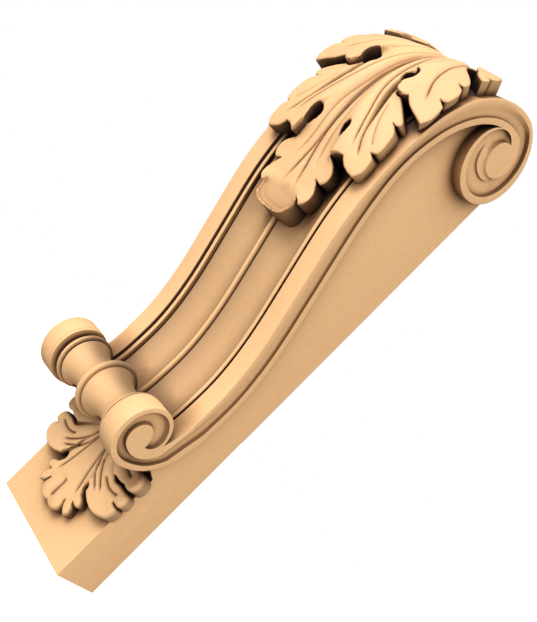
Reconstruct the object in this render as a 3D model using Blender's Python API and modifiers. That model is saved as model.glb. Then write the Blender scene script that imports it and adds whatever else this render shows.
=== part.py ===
"""Carved wooden corbel bracket: a board with a scrolled, moulded front and two acanthus leaves.

Standalone Blender 4.5 script, metres, +Z up. The back face lies in the plane Y = 0 and faces +Y,
the carved front faces -Y, and the origin is the middle of the flat back face, where the bracket
is fixed. The whole bracket is carved from one piece of wood, so it is one solid.
"""
import math

import bmesh
import bpy
import numpy as np

# Overall sizes
BOARD_WIDTH = 0.125
BOARD_THICKNESS = 0.0495
HEIGHT = 0.557
SWEEP_DEPTH = 0.129

# Scrolled cheeks: one plate on each side, let into the board's edge and proud of its side
CHEEK_LAP = 0.0084
CHEEK_PROUD = 0.0110
CHEEK_INNER = BOARD_WIDTH / 2 - CHEEK_LAP
CHEEK_OUTER = BOARD_WIDTH / 2 + CHEEK_PROUD
LIP_WIDTH = 0.0059
BAND_WIDTH = 0.0165
BAND_NARROWING = 0.0054
FRONT_LIP_WIDTH = 0.0044
CHANNEL_DEPTH = 0.0036

# Scrolls: how far out each one reaches, and where the small one sits
LARGE_SCROLL_RADIUS = 0.0444
SMALL_SCROLL_RADIUS = 0.0283
SMALL_SCROLL_DEPTH = 0.1075
SMALL_SCROLL_HEIGHT = 0.135

# Mouldings between the cheeks
GROOVE_WIDTH = 0.0033
GROOVE_DEPTH = 0.0090
FILLET_WIDTH = 0.0048
FILLET_DROP = 0.0010
FLUTE_STEP = 0.0035
FLUTE_SAG = 0.0040
BEAD_HALF_WIDTH = 0.0025
BEAD_DROP = 0.0030

# Turned roll between the small scrolls, whose drums reach inwards past the cheeks to meet it
ROLL_RADIUS = 0.0283
ROLL_NECK_RADIUS = 0.0185
ROLL_RING_WIDTH = 0.0050
DRUM_REACH = 0.0028
DRUM_STEP = 0.0004

# Leaves: thickness above the front
LEAF_TIP_THICKNESS = 0.0095
LEAF_CROWN_THICKNESS = 0.0215
SMALL_LEAF_THICKNESS = 0.0088
LEAF_ROOT = 0.0100
LEAF_EDGE_ROOT = 0.0012

# Height of the fixing point above the low end of the board
MOUNT_HEIGHT = 0.256

# How finely curved lines are divided
SWEEP_STEPS = 36
TURN_STEPS = 34
ROLL_STEPS = 26
LEAF_CELL = 0.0078
FLATNESS = 0.9

DRUM_INNER = CHEEK_INNER - DRUM_REACH

# Unit of the free carving below: leaves and scroll lines are drawn in shares of the board's width
UNIT = BOARD_WIDTH

LARGE_CENTRE = (0.972 * LARGE_SCROLL_RADIUS, HEIGHT - LARGE_SCROLL_RADIUS)
SMALL_CENTRE = (SMALL_SCROLL_DEPTH, SMALL_SCROLL_HEIGHT)
LARGE_EYE = (LARGE_CENTRE[0] - 0.1 * LARGE_SCROLL_RADIUS, LARGE_CENTRE[1] + 0.05 * LARGE_SCROLL_RADIUS)

# Front line between the scrolls: share of the sweep's depth, share of the height between the centres
SWEEP_KNOTS = [(0.582, 0.056), (0.566, 0.172), (0.594, 0.255), (0.735, 0.404), (0.874, 0.548),
               (0.966, 0.669), (1.0, 0.785), (0.956, 0.934)]

# Scroll lines: angle in degrees from the front towards the top, and share of the scroll's radius
LARGE_RIM = [(90, 1.0), (180, 0.972), (270, 0.972), (348, 0.780), (393, 0.623)]
LARGE_CHANNEL_OUTER = [(90, 0.817), (180, 0.727), (270, 0.896), (360, 0.775), (400, 0.590), (443, 0.341)]
LARGE_CHANNEL_INNER = [(60, 0.640), (90, 0.535), (180, 0.437), (270, 0.380), (360, 0.344), (443, 0.338)]
SMALL_RIM = [(164, 1.970), (188, 1.606), (211, 1.338), (232, 1.148), (270, 1.007), (315, 0.905),
             (360, 0.861), (415, 0.919), (479, 1.003), (530, 0.941)]
SMALL_CHANNEL_INNER = [(180, 1.157), (215, 0.839), (250, 0.610), (300, 0.473), (360, 0.415), (450, 0.380),
                       (540, 0.384), (566, 0.442)]

# Half outline of the large leaf, in units: each leaflet runs from a notch over its peak to the next notch.
# x is across, s is the way up the front line, and LEAF_TOP is its value at the top of the large scroll.
# The eyes end the cuts between lobes.
LEAF_TOP = 3.613
LARGE_LEAF_TIP = (0.0, 1.545)
LARGE_LEAF_LEAFLETS = [
    [((0.140, 1.715), (0.250, 1.665), (0.200, 1.855)), ((0.200, 1.855), (0.312, 1.885), (0.205, 2.045))],
    [((0.225, 2.068), (0.275, 2.035), (0.302, 2.095)), ((0.302, 2.095), (0.505, 1.970), (0.475, 2.155)),
     ((0.475, 2.155), (0.560, 2.200), (0.442, 2.400)), ((0.442, 2.400), (0.525, 2.425), (0.300, 2.600))],
    [((0.318, 2.632), (0.350, 2.605), (0.378, 2.645)), ((0.378, 2.645), (0.625, 2.495), (0.540, 2.700)),
     ((0.540, 2.700), (0.634, 2.745), (0.485, 2.885)), ((0.485, 2.885), (0.590, 2.910), (0.400, 3.050))],
    [((0.420, 3.095), (0.572, 3.040), (0.505, 3.180)), ((0.505, 3.180), (0.520, 3.270), (0.360, 3.380)),
     ((0.360, 3.380), (0.330, 3.520), (0.150, 3.600))],
]
LARGE_LEAF_EYES = [(0.160, 2.255), (0.220, 2.820), (0.300, 3.240)]
EYE_RADIUS = 0.026
LARGE_LEAF_STEM = (0.0, 3.640)

# Half outline of the small leaf, in units: x across, z up from the low end of the board
SMALL_LEAF_TIP = (0.0, 0.225)
SMALL_LEAF_LEAFLETS = [
    [((0.095, 0.300), (0.190, 0.262), (0.200, 0.365)), ((0.200, 0.365), (0.275, 0.375), (0.178, 0.470))],
    [((0.206, 0.500), (0.480, 0.415), (0.380, 0.625)), ((0.380, 0.625), (0.530, 0.600), (0.440, 0.690))],
    [((0.430, 0.730), (0.530, 0.720), (0.430, 0.840)), ((0.430, 0.840), (0.500, 0.900), (0.300, 0.960))],
]
SMALL_LEAF_EYES = [(0.165, 0.535), (0.275, 0.705)]
SMALL_LEAF_STEM = (0.0, 1.000)

WOOD_COLOUR = (0.80, 0.52, 0.28, 1.0)
WOOD_ROUGHNESS = 0.6


def spline(places, values, wanted):
    """Natural cubic spline of the values over the places, read at the wanted places."""
    t = np.asarray(places, float)
    v = np.asarray(values, float).reshape(len(t), -1)
    h = np.diff(t)
    system = np.eye(len(t))
    right = np.zeros_like(v)
    for i in range(1, len(t) - 1):
        system[i, i - 1:i + 2] = h[i - 1], 2 * (h[i - 1] + h[i]), h[i]
        right[i] = 6 * ((v[i + 1] - v[i]) / h[i] - (v[i] - v[i - 1]) / h[i - 1])
    bend = np.linalg.solve(system, right)
    i = np.clip(np.searchsorted(t, wanted) - 1, 0, len(t) - 2)
    before = (np.asarray(wanted) - t[i])[:, None]
    after = (t[i + 1] - np.asarray(wanted))[:, None]
    step = h[i][:, None]
    return ((bend[i] * after ** 3 + bend[i + 1] * before ** 3) / (6 * step)
            + (v[i] / step - bend[i] * step / 6) * after + (v[i + 1] / step - bend[i + 1] * step / 6) * before)


def turn(centre, size, shares, count, low=None, high=None):
    """Points (depth, height) round a centre, with the radius eased through the given shares of size."""
    angles = [a for a, _ in shares]
    wanted = np.linspace(angles[0] if low is None else low, angles[-1] if high is None else high, count)
    radius = size * spline(angles, [r for _, r in shares], wanted)[:, 0]
    return np.stack([centre[0] + radius * np.cos(np.radians(wanted)),
                     centre[1] + radius * np.sin(np.radians(wanted))], 1)


def front_knots():
    """Knots of the front line, from the throat at the small scroll to the top of the large one."""
    span = LARGE_CENTRE[1] - SMALL_CENTRE[1]
    throat = turn(SMALL_CENTRE, SMALL_SCROLL_RADIUS, SMALL_RIM, 2)[-1]
    sweep = [(d * SWEEP_DEPTH, SMALL_CENTRE[1] + h * span) for d, h in SWEEP_KNOTS]
    shoulder = [(LARGE_CENTRE[0] + LARGE_SCROLL_RADIUS * r * math.cos(math.radians(a)),
                 LARGE_CENTRE[1] + LARGE_SCROLL_RADIUS * r * math.sin(math.radians(a)))
                for a, r in ((12, 1.39), (53, 1.05), (90, 1.0))]
    return np.array([throat] + sweep + shoulder)


FRONT_KNOTS = front_knots()
FRONT_PLACES = np.r_[0, np.cumsum(np.linalg.norm(np.diff(FRONT_KNOTS, axis=0), axis=1))]
FRONT_LENGTH = FRONT_PLACES[-1]
# Length s = 0 of the leaf's outline, set so that the leaf hangs from the top of the front
FRONT_START = FRONT_LENGTH - LEAF_TOP * UNIT


def front_point(s):
    """Points (depth, height) and outward normals of the front line at lengths s; past the top it
    follows the rim of the large scroll down to the back."""
    s = np.atleast_1d(np.asarray(s, float))
    small = FRONT_LENGTH * 1e-4

    def place(at):
        on_line = spline(FRONT_PLACES, FRONT_KNOTS, np.minimum(at, FRONT_LENGTH))
        angle = 90 + np.degrees((at - FRONT_LENGTH) / LARGE_SCROLL_RADIUS)
        radius = LARGE_SCROLL_RADIUS * spline([a for a, _ in LARGE_RIM], [r for _, r in LARGE_RIM],
                                              np.clip(angle, 90, 393))[:, 0]
        on_scroll = np.stack([LARGE_CENTRE[0] + radius * np.cos(np.radians(angle)),
                              LARGE_CENTRE[1] + radius * np.sin(np.radians(angle))], 1)
        return np.where((at > FRONT_LENGTH)[:, None], on_scroll, on_line)

    point = place(s)
    along = place(s + small) - place(s - small)
    along /= np.linalg.norm(along, axis=1)[:, None]
    return point, np.stack([along[:, 1], -along[:, 0]], 1)


def band_width(s):
    """Distance from the front line back to the lower lip; the band is narrower below the leaf's lobes."""
    narrowest = FRONT_START + 2.3 * UNIT
    return BAND_WIDTH - BAND_NARROWING * np.exp(-((s - narrowest) / (0.45 * UNIT)) ** 2)


def lip_end():
    """Length on the front line at which the lower lip runs into the large scroll's rim."""
    end = turn(LARGE_CENTRE, LARGE_SCROLL_RADIUS, LARGE_RIM, 2)[-1]
    s = np.linspace(FRONT_LENGTH * 0.6, FRONT_LENGTH, 400)
    point, normal = front_point(s)
    lip = point - normal * (band_width(s) + LIP_WIDTH)[:, None]
    return s[np.argmin(np.linalg.norm(lip - end, axis=1))]


def cheek_outline():
    """Closed outline (depth, height) of a cheek with both scrolls."""
    up = front_point(np.linspace(0, FRONT_LENGTH, SWEEP_STEPS))[0]
    large = turn(LARGE_CENTRE, LARGE_SCROLL_RADIUS, LARGE_RIM, TURN_STEPS)
    s = np.linspace(lip_end() - 0.001, FRONT_PLACES[1] + 0.003, SWEEP_STEPS)
    point, normal = front_point(s)
    down = point - normal * (band_width(s) + LIP_WIDTH)[:, None]
    small = turn(SMALL_CENTRE, SMALL_SCROLL_RADIUS, SMALL_RIM, TURN_STEPS)
    return np.concatenate([up, large[1:], down[1:], small[:-1]])


def new_object(name, bm, collection):
    mesh = bpy.data.meshes.new(name)
    bm.to_mesh(mesh)
    bm.free()
    obj = bpy.data.objects.new(name, mesh)
    collection.objects.link(obj)
    return obj


def plate(name, outline, low, high, collection):
    """Closed plate between two planes across X, from a flat outline (depth, height)."""
    curve = bpy.data.curves.new(name, "CURVE")
    curve.dimensions = "2D"
    curve.fill_mode = "BOTH"
    curve.extrude = (high - low) / 2
    line = curve.splines.new("POLY")
    line.points.add(len(outline) - 1)
    for point, (depth, height) in zip(line.points, outline):
        point.co = (-depth, height, 0, 1)
    line.use_cyclic_u = True
    drawn = bpy.data.objects.new(name, curve)
    collection.objects.link(drawn)
    mesh = bpy.data.meshes.new_from_object(drawn.evaluated_get(bpy.context.evaluated_depsgraph_get()))
    bpy.data.objects.remove(drawn)
    bm = bmesh.new()
    bm.from_mesh(mesh)
    bpy.data.meshes.remove(mesh)
    bmesh.ops.remove_doubles(bm, verts=bm.verts, dist=1e-6)
    # the curve is drawn in its own X and Y: turn it so that they become Y and Z, and its Z becomes X
    for vert in bm.verts:
        flat = vert.co.copy()
        vert.co = (flat.z + (low + high) / 2, flat.x, flat.y)
    bmesh.ops.recalc_face_normals(bm, faces=bm.faces)
    return new_object(name, bm, collection)


def loft(name, rings, collection):
    """Closed solid through rings of equal count: one ring for each station, closed at both ends."""
    bm = bmesh.new()
    rows = [[bm.verts.new(point) for point in ring] for ring in rings]
    count = len(rows[0])
    for below, above in zip(rows, rows[1:]):
        for i in range(count):
            j = (i + 1) % count
            bm.faces.new((below[i], below[j], above[j], above[i]))
    bm.faces.new(rows[0][::-1])
    bm.faces.new(rows[-1])
    bmesh.ops.triangulate(bm, faces=[f for f in bm.faces if len(f.verts) > 4])
    bmesh.ops.recalc_face_normals(bm, faces=bm.faces)
    return new_object(name, bm, collection)


def core(collection):
    """Board with the body behind the mouldings, as wide as the board."""
    behind = GROOVE_DEPTH
    s = np.linspace(0, FRONT_LENGTH + 1.1 * LARGE_SCROLL_RADIUS, SWEEP_STEPS)
    point, normal = front_point(s)
    front = point - normal * behind
    foot = SMALL_CENTRE[1] - 0.9 * SMALL_SCROLL_RADIUS
    low = [(0, 0), (BOARD_THICKNESS, 0), (BOARD_THICKNESS, foot), (front[0][0] - 0.004, foot + 0.010)]
    high = [(0, LARGE_CENTRE[1] + 0.002)]
    return plate("core", low + list(map(tuple, front)) + high, -BOARD_WIDTH / 2, BOARD_WIDTH / 2, collection)


def moulding_section():
    """Section of the mouldings between the cheeks: (x, height over the front line), left to right."""
    edge = CHEEK_INNER - GROOVE_WIDTH
    flute = edge - FILLET_WIDTH
    half = [(edge, -FILLET_DROP), (flute, -FILLET_DROP), (flute, -FILLET_DROP - FLUTE_STEP)]
    for share in np.linspace(0, 1, 6)[1:]:
        x = flute + (BEAD_HALF_WIDTH - flute) * share
        half.append((x, -FILLET_DROP - FLUTE_STEP - FLUTE_SAG * math.sin(math.pi * (0.25 + 0.5 * share))
                     + FLUTE_SAG * math.sin(math.pi * 0.25)))
    half.append((BEAD_HALF_WIDTH, -BEAD_DROP - 0.001))
    half.append((BEAD_HALF_WIDTH * 0.5, -BEAD_DROP))
    left = [(-x, h) for x, h in half]
    return left + half[::-1]


def mouldings(collection):
    """Groove, fillets, flutes and centre bead: one section swept along the front line."""
    section = moulding_section()
    bottom = -GROOVE_DEPTH - 0.006
    edge = section[-1][0]
    ring = section + [(edge, bottom), (-edge, bottom)]
    stations = np.linspace(0.001, FRONT_LENGTH + 1.45 * LARGE_SCROLL_RADIUS, SWEEP_STEPS)
    rings = []
    for (depth, height), normal in zip(*front_point(stations)):
        rings.append([(x, -(depth + h * normal[0]), height + h * normal[1]) for x, h in ring])
    return loft("mouldings", rings, collection)


def channel_lines(count):
    """Both edges of the side channel, from its tip in the small scroll to its tip in the large one."""
    n = count // 3
    angles = np.linspace(564, 184, n)
    rim = SMALL_SCROLL_RADIUS * spline([a for a, _ in SMALL_RIM], [r for _, r in SMALL_RIM],
                                       np.minimum(angles, 530))[:, 0]
    inner = SMALL_SCROLL_RADIUS * spline([a for a, _ in SMALL_CHANNEL_INNER],
                                         [r for _, r in SMALL_CHANNEL_INNER], angles)[:, 0]
    ending = np.clip((angles - 520) / 46, 0, 1) ** 2
    outer = (rim - LIP_WIDTH * 0.9) * (1 - ending) + (inner + 0.0004) * ending
    outer = np.maximum(outer, inner + 0.0004)
    way = np.stack([np.cos(np.radians(angles)), np.sin(np.radians(angles))], 1)
    lower_start = np.array(SMALL_CENTRE) + way * outer[:, None]
    upper_start = np.array(SMALL_CENTRE) + way * inner[:, None]
    s = np.linspace(FRONT_PLACES[1] + 0.015, lip_end() - 0.011, n)
    point, normal = front_point(s)
    lower_sweep = point - normal * band_width(s)[:, None]
    upper_sweep = point - normal * FRONT_LIP_WIDTH
    lower_end = turn(LARGE_EYE, LARGE_SCROLL_RADIUS, LARGE_CHANNEL_INNER, n, 84, 441)
    upper_end = turn(LARGE_EYE, LARGE_SCROLL_RADIUS, LARGE_CHANNEL_OUTER, n, 90, 441)
    return (np.concatenate([lower_start, lower_sweep, lower_end]),
            np.concatenate([upper_start, upper_sweep, upper_end]))


def channel(side, collection):
    """Cutter for the spiral channel on one cheek's face: steep at one edge and eased at the other."""
    lower, upper = channel_lines(TURN_STEPS * 3)
    face = CHEEK_OUTER
    rings = []
    count = len(lower)
    for i, (a, b) in enumerate(zip(lower, upper)):
        # the steep wall stands at the lower lip, and changes over to the rim near the large scroll
        change = min(max((i / count - 0.60) / 0.08, 0), 1)
        steep, eased = 0.06, 0.38
        first = steep + (eased - steep) * change
        second = 1 - (eased + (steep - eased) * change)
        deep = CHANNEL_DEPTH * min(1, np.linalg.norm(b - a) / (2.0 * CHANNEL_DEPTH))
        across = [(0, 0.002), (0, 0), (first, -deep), (second, -deep), (1, 0), (1, 0.002)]
        ring = []
        for share, proud in across:
            depth, height = a + (b - a) * share
            ring.append((side * (face + proud), -depth, height))
        rings.append(ring)
    return loft("channel", rings, collection)


def drum_outline():
    """Outline of the small scroll alone, a little inside the cheek's."""
    return turn(SMALL_CENTRE, SMALL_SCROLL_RADIUS - DRUM_STEP, SMALL_RIM, TURN_STEPS, 211, 528)


def roll(collection):
    """Turned roll between the small scrolls: three rings with a hollow neck between each two."""
    half = DRUM_INNER + 0.002
    ring = ROLL_RING_WIDTH
    side_ring = DRUM_INNER - 1.1 * ring
    neck_ends = (ring / 2, side_ring - ring / 2)
    profile = [(0, half), (ROLL_RADIUS * 0.93, half), (ROLL_RADIUS * 0.93, neck_ends[1] + ring),
               (ROLL_RADIUS, neck_ends[1] + ring * 0.75), (ROLL_RADIUS, neck_ends[1] + ring * 0.25),
               (ROLL_RADIUS * 0.90, neck_ends[1])]
    for share in np.linspace(0, 1, 9)[1:-1]:
        x = neck_ends[1] + (neck_ends[0] - neck_ends[1]) * share
        hollow = math.sin(math.pi * share) ** 0.8
        profile.append((ROLL_RADIUS * 0.90 + (ROLL_NECK_RADIUS - ROLL_RADIUS * 0.90) * hollow, x))
    profile += [(ROLL_RADIUS * 0.90, neck_ends[0]), (ROLL_RADIUS, ring * 0.25)]
    profile += [(r, -x) for r, x in profile[::-1]]
    bm = bmesh.new()
    verts = [bm.verts.new((r, 0, x)) for r, x in profile]
    for first, second in zip(verts, verts[1:]):
        bm.edges.new((first, second))
    obj = new_object("roll", bm, collection)
    screw = obj.modifiers.new("Turn", "SCREW")
    screw.axis = "Z"
    screw.steps = ROLL_STEPS
    screw.render_steps = ROLL_STEPS
    screw.use_merge_vertices = True
    screw.merge_threshold = 0.00001
    mesh = bpy.data.meshes.new_from_object(obj.evaluated_get(bpy.context.evaluated_depsgraph_get()))
    bpy.data.objects.remove(obj)
    # the roll was turned about Z: lay it along X, into the hollow of the small scrolls
    depth = SMALL_CENTRE[0] - 0.21 * SMALL_SCROLL_RADIUS
    for vert in mesh.vertices:
        flat = vert.co.copy()
        vert.co = (flat.z, flat.x - depth, flat.y + SMALL_CENTRE[1])
    turned = bpy.data.objects.new("roll", mesh)
    collection.objects.link(turned)
    bm = bmesh.new()
    bm.from_mesh(mesh)
    bmesh.ops.remove_doubles(bm, verts=bm.verts, dist=1e-6)
    bmesh.ops.recalc_face_normals(bm, faces=bm.faces)
    bm.to_mesh(mesh)
    bm.free()
    return turned


def leaflet(start, peak, end, steps=5, fullness=0.85):
    """Rounded leaflet from notch to notch over its peak, without its last point."""
    start, peak, end = (np.array(p) for p in (start, peak, end))
    middle = (start + end) / 2
    t = np.linspace(0, math.pi, steps + 1)[:-1]
    bulge = np.sin(t) ** fullness
    return middle - np.cos(t)[:, None] * (end - start) / 2 + bulge[:, None] * (peak - middle)


def leaf_half(tip, lobes, eyes, stem):
    """Right half of a leaf's outline, from the tip's middle to the stem's middle, in units."""
    points = []
    first = np.array(lobes[0][0][0])
    for t in np.linspace(0, 1, 4)[:-1]:
        angle = math.pi / 2 * t
        points.append((tip[0] + first[0] * 1.12 * math.sin(angle) ** 0.8,
                       tip[1] + (first[1] - tip[1]) * (1 - math.cos(angle))))
    for number, lobe in enumerate(lobes):
        for start, peak, end in lobe:
            points += [tuple(p) for p in leaflet(start, peak, end)]
        last = lobe[-1][2]
        points.append(last)
        if number < len(eyes):
            eye = np.array(eyes[number])
            back = np.array(lobes[number + 1][0][0])
            way = math.atan2(*(eye - (np.array(last) + back) / 2)[::-1])
            for turn_share in (-0.62, -0.3, 0.0, 0.3, 0.62):
                angle = way - turn_share * math.pi
                points.append((eye[0] + EYE_RADIUS * math.cos(angle), eye[1] + EYE_RADIUS * math.sin(angle)))
    points.append(stem)
    return points


def leaf_outline(tip, lobes, eyes, stem):
    """Whole outline of a leaf: its half and the mirrored half, in units."""
    half = leaf_half(tip, lobes, eyes, stem)
    return half + [(-x, s) for x, s in half[-2:0:-1]]


def leaf_slab(name, outline, collection):
    """Flat leaf in units, from 0 to 1 high, with a grid of faces over its outline."""
    points = np.array(outline)
    low = points.min(0) - 0.05
    high = points.max(0) + 0.05
    cells = np.ceil((high - low) * UNIT / LEAF_CELL).astype(int)
    bm = bmesh.new()
    bmesh.ops.create_grid(bm, x_segments=int(cells[0]), y_segments=int(cells[1]), size=0.5)
    for vert in bm.verts:
        vert.co = (low[0] + (vert.co.x + 0.5) * (high[0] - low[0]),
                   low[1] + (vert.co.y + 0.5) * (high[1] - low[1]), 1)
    below = bmesh.ops.extrude_face_region(bm, geom=bm.faces[:])
    for item in below["geom"]:
        if isinstance(item, bmesh.types.BMVert):
            item.co.z = 0
    bmesh.ops.recalc_face_normals(bm, faces=bm.faces)
    slab = new_object(name, bm, collection)
    bm = bmesh.new()
    ring = [bm.verts.new((x, s, -0.5)) for x, s in outline]
    face = bm.faces.new(ring)
    raised = bmesh.ops.extrude_face_region(bm, geom=[face])
    for item in raised["geom"]:
        if isinstance(item, bmesh.types.BMVert):
            item.co.z = 1.5
    bmesh.ops.triangulate(bm, faces=[f for f in bm.faces if len(f.verts) > 4])
    bmesh.ops.recalc_face_normals(bm, faces=bm.faces)
    prism = new_object("outline", bm, collection)
    combine(slab, [prism], "INTERSECT")
    return slab


def combine(obj, others, operation):
    """Boolean of the object with each of the others in turn; the others are removed."""
    for other in others:
        modifier = obj.modifiers.new("Combine", "BOOLEAN")
        modifier.operation = operation
        modifier.solver = "EXACT"
        modifier.object = other
        mesh = bpy.data.meshes.new_from_object(obj.evaluated_get(bpy.context.evaluated_depsgraph_get()))
        obj.modifiers.clear()
        old = obj.data
        obj.data = mesh
        bpy.data.meshes.remove(old)
        bpy.data.objects.remove(other)
    return obj


def vein_hollow(x, s, veins, width):
    """How far a point lies in the hollow along the nearest vein: 1 on the vein, 0 on the ridges."""
    nearest = np.full(x.shape, 1e9)
    for vein in veins:
        vein = np.array(vein)
        for (ax, ay), (bx, by) in zip(vein, vein[1:]):
            share = np.clip(((x - ax) * (bx - ax) + (s - ay) * (by - ay)) / ((bx - ax) ** 2 + (by - ay) ** 2), 0, 1)
            distance = np.hypot(x - ax - share * (bx - ax), s - ay - share * (by - ay))
            nearest = np.minimum(nearest, distance)
    return np.exp(-(nearest / width) ** 2)


def leaf_veins(lobes, root, middle):
    """One vein for each lobe on both sides, from the root by the midrib out to the lobe's main peak."""
    veins = [[root, middle]]
    for lobe in lobes[1:]:
        peak = np.array(max((p for _, p, _ in lobe), key=lambda p: p[0] - 0.6 * p[1]))
        base = np.array([0.35 * peak[0], root[1]])
        bend = np.array([0.30 * peak[0], (peak[1] * 0.55 + root[1] * 0.45)])
        line = [(1 - t) ** 2 * base + 2 * t * (1 - t) * bend + t * t * (peak * 0.93 + np.array(middle) * 0.07)
                for t in np.linspace(0, 1, 8)]
        veins.append(line)
        veins.append([(-x, s) for x, s in line])
    return veins


def large_leaf(collection):
    """Acanthus leaf that lies over the shoulder of the front and down its face."""
    outline = leaf_outline(LARGE_LEAF_TIP, LARGE_LEAF_LEAFLETS, LARGE_LEAF_EYES, LARGE_LEAF_STEM)
    leaf = leaf_slab("large_leaf", outline, collection)
    flat = np.array([v.co for v in leaf.data.vertices])
    x, s, top = flat[:, 0], flat[:, 1], flat[:, 2] > 0.5
    veins = leaf_veins(LARGE_LEAF_LEAFLETS, (0.0, 3.45), LARGE_LEAF_TIP)
    crown = spline([1.5, 2.0, 2.5, 2.9, 3.3, 3.7],
                   [0.0, 0.30, 0.85, 1.0, 0.65, -1.0], np.clip(s, 1.5, 3.7))[:, 0]
    thick = LEAF_TIP_THICKNESS + (LEAF_CROWN_THICKNESS - LEAF_TIP_THICKNESS) * crown
    # the upper lobes bow down towards the cheeks
    bow = 0.35 * np.clip((s - 2.6) / 0.6, 0, 1)
    thick = thick * (1 - 0.22 * vein_hollow(x, s, veins, 0.05)) * (1 - bow * (x / 0.56) ** 2)
    # the leaf is rooted down to the flutes, and lies on the cheeks where it overhangs them
    root = np.where(np.abs(x) * UNIT > CHEEK_INNER + 1.05 * LEAF_CELL, LEAF_EDGE_ROOT, LEAF_ROOT)
    height = np.where(top, np.maximum(thick, LEAF_EDGE_ROOT), -root)
    point, normal = front_point(FRONT_START + s * UNIT)
    place = point + normal * height[:, None]
    for vert, across, (depth, up) in zip(leaf.data.vertices, x, place):
        vert.co = (across * UNIT, -depth, up)
    return leaf


def small_leaf(collection):
    """Acanthus leaf on the board's face below the roll."""
    outline = leaf_outline(SMALL_LEAF_TIP, SMALL_LEAF_LEAFLETS, SMALL_LEAF_EYES, SMALL_LEAF_STEM)
    leaf = leaf_slab("small_leaf", outline, collection)
    flat = np.array([v.co for v in leaf.data.vertices])
    x, z, top = flat[:, 0], flat[:, 1], flat[:, 2] > 0.5
    veins = leaf_veins(SMALL_LEAF_LEAFLETS, (0.0, 0.95), SMALL_LEAF_TIP)
    rise = np.clip((z - 0.25) / 0.6, 0, 1)
    thick = SMALL_LEAF_THICKNESS * (1 + 0.5 * rise) * (1 - 0.25 * vein_hollow(x, z, veins, 0.04))
    height = np.where(top, thick, -LEAF_EDGE_ROOT)
    for vert, across, up, h in zip(leaf.data.vertices, x, z, height):
        vert.co = (across * UNIT, -(BOARD_THICKNESS + h), up * UNIT)
    return leaf


def wood():
    material = bpy.data.materials.new("carved_wood")
    material.use_nodes = True
    shader = material.node_tree.nodes["Principled BSDF"]
    shader.inputs["Base Color"].default_value = WOOD_COLOUR
    shader.inputs["Roughness"].default_value = WOOD_ROUGHNESS
    shader.inputs["Metallic"].default_value = 0.0
    return material


def tidy_mesh(obj, weld=2e-5):
    """Weld the joins of the carving, split edges where a corner lies on them, close what is open,
    merge faces that lie flat together, and leave triangles."""
    bm = bmesh.new()
    bm.from_mesh(obj.data)
    bmesh.ops.remove_doubles(bm, verts=bm.verts, dist=weld)
    bmesh.ops.triangulate(bm, faces=bm.faces)
    open_edges = [e for e in bm.edges if len(e.link_faces) == 1]
    corners = {v for e in open_edges for v in e.verts}
    for edge in open_edges:
        start, end = edge.verts
        along = end.co - start.co
        for corner in corners - {start, end}:
            share = (corner.co - start.co).dot(along) / along.length_squared
            if 0 < share < 1 and (start.co + along * share - corner.co).length < weld:
                bmesh.utils.edge_split(edge, start, share)
                break
    bmesh.ops.remove_doubles(bm, verts=bm.verts, dist=weld)
    bmesh.ops.holes_fill(bm, edges=[e for e in bm.edges if len(e.link_faces) == 1], sides=4)
    bmesh.ops.dissolve_limit(bm, angle_limit=math.radians(FLATNESS), verts=bm.verts, edges=bm.edges)
    bmesh.ops.triangulate(bm, faces=bm.faces)
    bmesh.ops.recalc_face_normals(bm, faces=bm.faces)
    bm.to_mesh(obj.data)
    bm.free()


def build():
    for obj in list(bpy.data.objects):
        bpy.data.objects.remove(obj)
    parts = bpy.data.collections.new("corbel_bracket")
    bpy.context.scene.collection.children.link(parts)
    body = core(parts)
    body.name = "corbel_bracket"
    cheeks = [plate("cheek", cheek_outline(), *sorted((side * CHEEK_INNER, side * CHEEK_OUTER)), parts)
              for side in (1, -1)]
    for cheek, side in zip(cheeks, (1, -1)):
        combine(cheek, [channel(side, parts)], "DIFFERENCE")
    drums = [plate("drum", drum_outline(), *sorted((side * DRUM_INNER, side * (CHEEK_OUTER - 0.006))), parts)
             for side in (1, -1)]
    combine(body, [mouldings(parts)] + cheeks + drums + [roll(parts), large_leaf(parts), small_leaf(parts)],
            "UNION")
    tidy_mesh(body)
    for vert in body.data.vertices:
        vert.co.z -= MOUNT_HEIGHT
    body.data.materials.clear()
    body.data.materials.append(wood())
    body.data.shade_smooth()
    body.data.set_sharp_from_angle(angle=math.radians(35))


build()
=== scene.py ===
import math

import bpy
import numpy as np
from mathutils import Matrix, Vector
from mathutils.geometry import delaunay_2d_cdt


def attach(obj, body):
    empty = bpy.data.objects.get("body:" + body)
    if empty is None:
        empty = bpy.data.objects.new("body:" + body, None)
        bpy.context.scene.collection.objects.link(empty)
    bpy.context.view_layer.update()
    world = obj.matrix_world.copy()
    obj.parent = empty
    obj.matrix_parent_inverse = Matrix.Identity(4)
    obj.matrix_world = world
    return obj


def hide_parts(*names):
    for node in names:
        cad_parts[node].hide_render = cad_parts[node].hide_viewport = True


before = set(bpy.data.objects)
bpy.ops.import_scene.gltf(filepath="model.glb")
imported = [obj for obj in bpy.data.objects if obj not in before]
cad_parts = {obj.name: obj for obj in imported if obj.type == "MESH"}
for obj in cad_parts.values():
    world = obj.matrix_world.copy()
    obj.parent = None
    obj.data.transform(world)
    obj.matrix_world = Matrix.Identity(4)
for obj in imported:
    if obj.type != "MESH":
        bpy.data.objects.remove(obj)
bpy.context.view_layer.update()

# Everything below is drawn in shares of the board's width, from the low end of the board upwards:
# x across, f out from the back, z up, s along the front line and h above it.
W = 0.125
MOUNT_HEIGHT = 0.256
BOARD_FRONT = 0.396

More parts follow.
